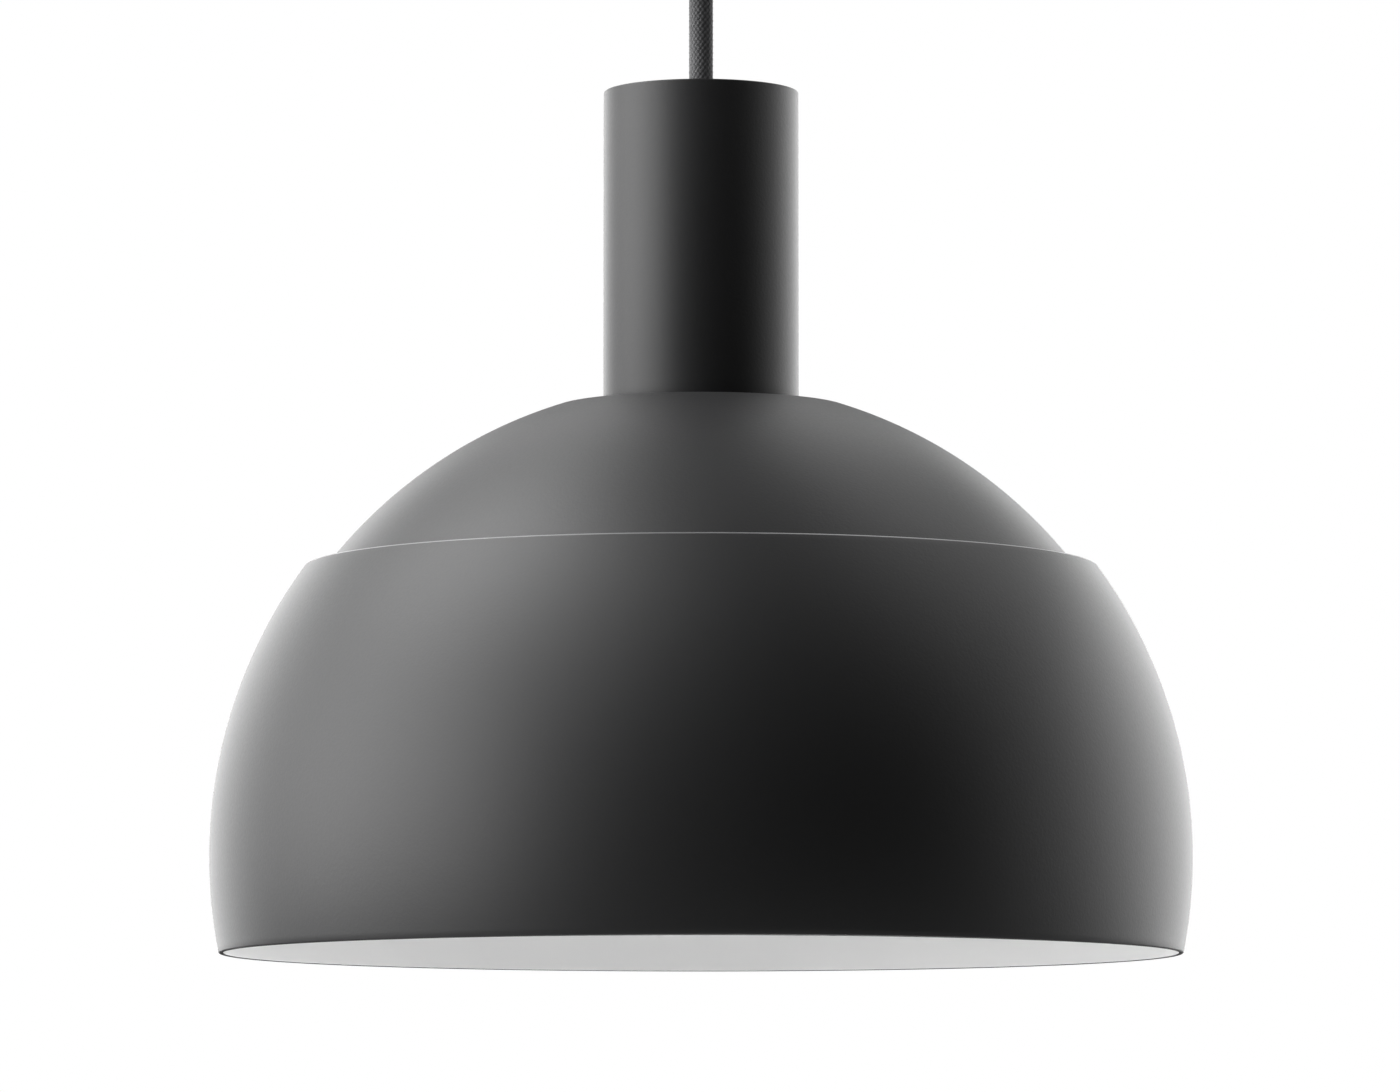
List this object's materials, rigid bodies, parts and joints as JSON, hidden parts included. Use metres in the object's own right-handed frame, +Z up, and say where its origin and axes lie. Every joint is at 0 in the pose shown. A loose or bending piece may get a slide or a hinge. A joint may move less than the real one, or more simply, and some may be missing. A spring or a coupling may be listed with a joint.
{
  "type": "pendant ceiling light",
  "caption": "Pendant ceiling light: a domed shade of nested spun-metal shells under a slim tubular socket cover, hung by a textile cable from a round ceiling rose.",
  "frame": {"origin": "middle of the bracket's top face, where the ceiling rose meets the ceiling; the lamp hangs at negative Z", "axes": "+Z up along the cable and the shade's axis, -Y the front, +X to the right seen from the front; the bracket and the two side screws lie along X"},
  "size_m": [0.2998, 0.2998, 0.3786],
  "materials": {
    "black_powder_coat": "matt fine-texture black powder coat on spun metal",
    "white_powder_coat": "matt white powder coat",
    "woven_textile": "woven dark grey textile sheath",
    "black_nylon": "moulded, satin",
    "black_phenolic": "compression moulded, semi-gloss",
    "zinc_plated_steel": "bright zinc plate",
    "brass": "plain turned brass",
    "white_ceramic": "unglazed steatite",
    "natural_nylon": "moulded, translucent natural",
    "brown_insulation": "smooth wire insulation",
    "blue_insulation": "smooth wire insulation",
    "green_yellow_insulation": "smooth wire insulation, green and yellow",
    "opal_polycarbonate": "opal, satin",
    "white_plastic": "moulded, satin",
    "nickel_plate": "nickel plate",
    "black_glass_insulator": "black vitrified insulator",
    "aluminium_board": "plain aluminium circuit board",
    "circuit_board": "green circuit board"
  },
  "bodies": {
    "ceiling_rose": {"ceiling_bracket": "zinc_plated_steel", "canopy_cup": "black_powder_coat", "canopy_screw_left": "black_powder_coat", "canopy_screw_right": "black_powder_coat", "rose_bushing": "black_nylon", "rose_nut": "zinc_plated_steel", "rose_cord_grip": "black_nylon", "rose_grip_screw": "zinc_plated_steel", "rose_cable": "woven_textile", "terminal_block": "natural_nylon", "terminal_sleeve_live": "brass", "terminal_sleeve_neutral": "brass", "terminal_sleeve_earth": "brass", "terminal_screw_live_lamp": "brass", "terminal_screw_live_mains": "brass", "terminal_screw_neutral_lamp": "brass", "terminal_screw_neutral_mains": "brass", "terminal_screw_earth_lamp": "brass", "terminal_screw_earth_mains": "brass", "rose_wire_live": "brown_insulation", "rose_wire_neutral": "blue_insulation", "rose_wire_earth": "green_yellow_insulation"},
    "cable_neck": {"cable_neck": "woven_textile"},
    "pendant": {"hanging_cable": "woven_textile", "socket_cover": "black_powder_coat", "cover_bushing": "black_nylon", "cover_lock_washer": "zinc_plated_steel", "cover_nut": "zinc_plated_steel", "head_cord_grip": "black_nylon", "head_grip_screw": "zinc_plated_steel", "stem_tube": "zinc_plated_steel", "lampholder_cap": "black_phenolic", "cap_lock_screw": "zinc_plated_steel", "earth_plate": "brass", "lampholder_body": "black_phenolic", "contact_block": "white_ceramic", "screw_shell": "brass", "centre_contact": "brass", "holder_screw_live": "brass", "holder_screw_neutral": "brass", "head_wire_live": "brown_insulation", "head_wire_neutral": "blue_insulation", "head_wire_earth": "green_yellow_insulation"},
    "shade": {"dome_shell": "black_powder_coat", "ring_shell": "black_powder_coat", "spacer_1": "white_powder_coat", "spacer_2": "white_powder_coat", "spacer_3": "white_powder_coat", "spacer_screw_1": "white_powder_coat", "spacer_screw_2": "white_powder_coat", "spacer_screw_3": "white_powder_coat"},
    "shade_ring": {"shade_ring": "black_phenolic"},
    "bulb_tip": {"bulb_contact": "nickel_plate"},
    "bulb": {"bulb_insulator": "black_glass_insulator", "bulb_cap": "nickel_plate", "bulb_housing": "white_plastic", "bulb_globe": "opal_polycarbonate", "led_board": "aluminium_board", "led_driver": "circuit_board"}
  },
  "joints": [
    {"name": "swing_side", "type": "hinge", "parent": "ceiling_rose", "child": "cable_neck", "pos_m": [0, 0, -0.0523], "axis": [0, 1, 0], "range_deg": [-15, 15]},
    {"name": "swing_front", "type": "hinge", "parent": "cable_neck", "child": "pendant", "pos_m": [0, 0, -0.0523], "axis": [1, 0, 0], "range_deg": [-15, 15]},
    {"name": "shade_drop", "type": "slide", "parent": "pendant", "child": "shade", "axis": [0, 0, -1], "range_m": [0, 0.01]},
    {"name": "shade_ring_turn", "type": "hinge", "parent": "shade", "child": "shade_ring", "pos_m": [0, 0, -0.2124], "axis": [0, 0, -1], "range_deg": [0, 905]},
    {"name": "bulb_travel", "type": "slide", "parent": "pendant", "child": "bulb_tip", "axis": [0, 0, -1], "range_m": [0, 0.01452]},
    {"name": "bulb_turn", "type": "hinge", "parent": "bulb_tip", "child": "bulb", "pos_m": [0, 0, -0.1905], "axis": [0, 0, -1], "range_deg": [0, 1445]}
  ],
  "couplings": [
    {"joint": "shade_ring_turn", "follows": "shade_drop", "rad_per_m": 1570.8},
    {"joint": "bulb_turn", "follows": "bulb_travel", "rad_per_m": 1730.9}
  ]
}
